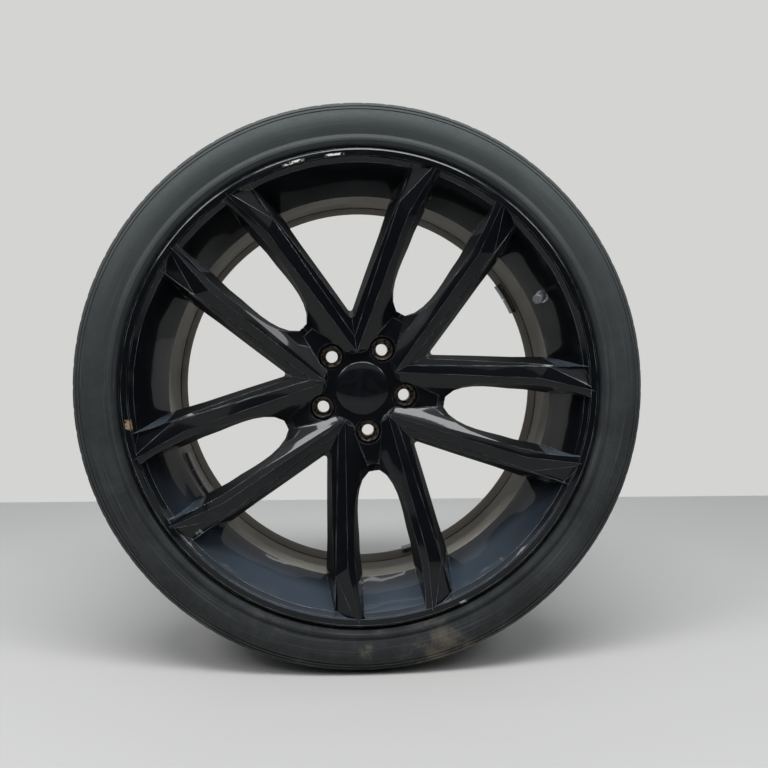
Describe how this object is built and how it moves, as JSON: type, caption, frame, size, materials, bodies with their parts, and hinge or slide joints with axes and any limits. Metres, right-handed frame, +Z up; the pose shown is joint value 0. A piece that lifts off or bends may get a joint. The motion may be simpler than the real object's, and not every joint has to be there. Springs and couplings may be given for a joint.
{
  "type": "alloy wheel with tyre",
  "caption": "Black cast alloy road wheel with V-shaped pairs of faceted spokes, a domed hub cap, a low-profile tyre, a clamp-in valve and stick-on balance weights.",
  "frame": {"origin": "wheel centre, on the spin axis at the rim's middle plane", "axes": "+Z up with the wheel standing on its tread, +Y along the spin axis from the face to the hub side, +X to the right seen from the face"},
  "size_m": [0.7178, 0.265, 0.7162],
  "materials": {
    "gloss_paint": "gloss",
    "tyre": "matte",
    "cap": "gloss",
    "steel": "satin",
    "rubber": "matte",
    "stem": "satin",
    "valve_cap": "matte",
    "brass": "satin",
    "housing": "matte",
    "zinc": "satin",
    "tape": "matte",
    "dark_zinc": "matte"
  },
  "bodies": {
    "wheel": {"alloy_wheel": "gloss_paint", "tyre": "tyre", "centre_cap": "cap", "cap_spring_ring": "steel", "valve_grommet": "rubber", "valve_stem": "stem", "valve_washer": "steel", "valve_nut": "steel", "valve_core": "brass", "valve_core_spring": "steel", "valve_core_seal": "rubber", "pressure_sensor": "housing", "sensor_screw": "steel", "weight_rear_left": "zinc", "tape_rear_left": "tape", "weight_rear_low": "zinc", "tape_rear_low": "tape", "weight_well": "dark_zinc", "tape_well": "tape"},
    "cap_travel": {"valve_cap_seal": "rubber"},
    "cap": {"valve_cap": "valve_cap"},
    "core_pin": {"valve_core_pin": "brass"}
  },
  "joints": [
    {"name": "valve_cap_travel", "type": "slide", "parent": "wheel", "child": "cap_travel", "axis": [-0.4455, -0.866, -0.227], "range_m": [0, 0.00635]},
    {"name": "valve_cap_turn", "type": "hinge", "parent": "cap_travel", "child": "cap", "pos_m": [0.23706, -0.078, 0.12079], "axis": [-0.4455, -0.866, -0.227], "range_deg": [0, 2880]},
    {"name": "valve_pin_press", "type": "slide", "parent": "wheel", "child": "core_pin", "axis": [0.4455, 0.866, 0.227], "range_m": [0, 0.0015], "stiffness_N_per_m": 1500, "springref_m": -0.001}
  ],
  "couplings": [
    {"joint": "valve_cap_turn", "follows": "valve_cap_travel", "rad_per_m": 7913.3}
  ]
}
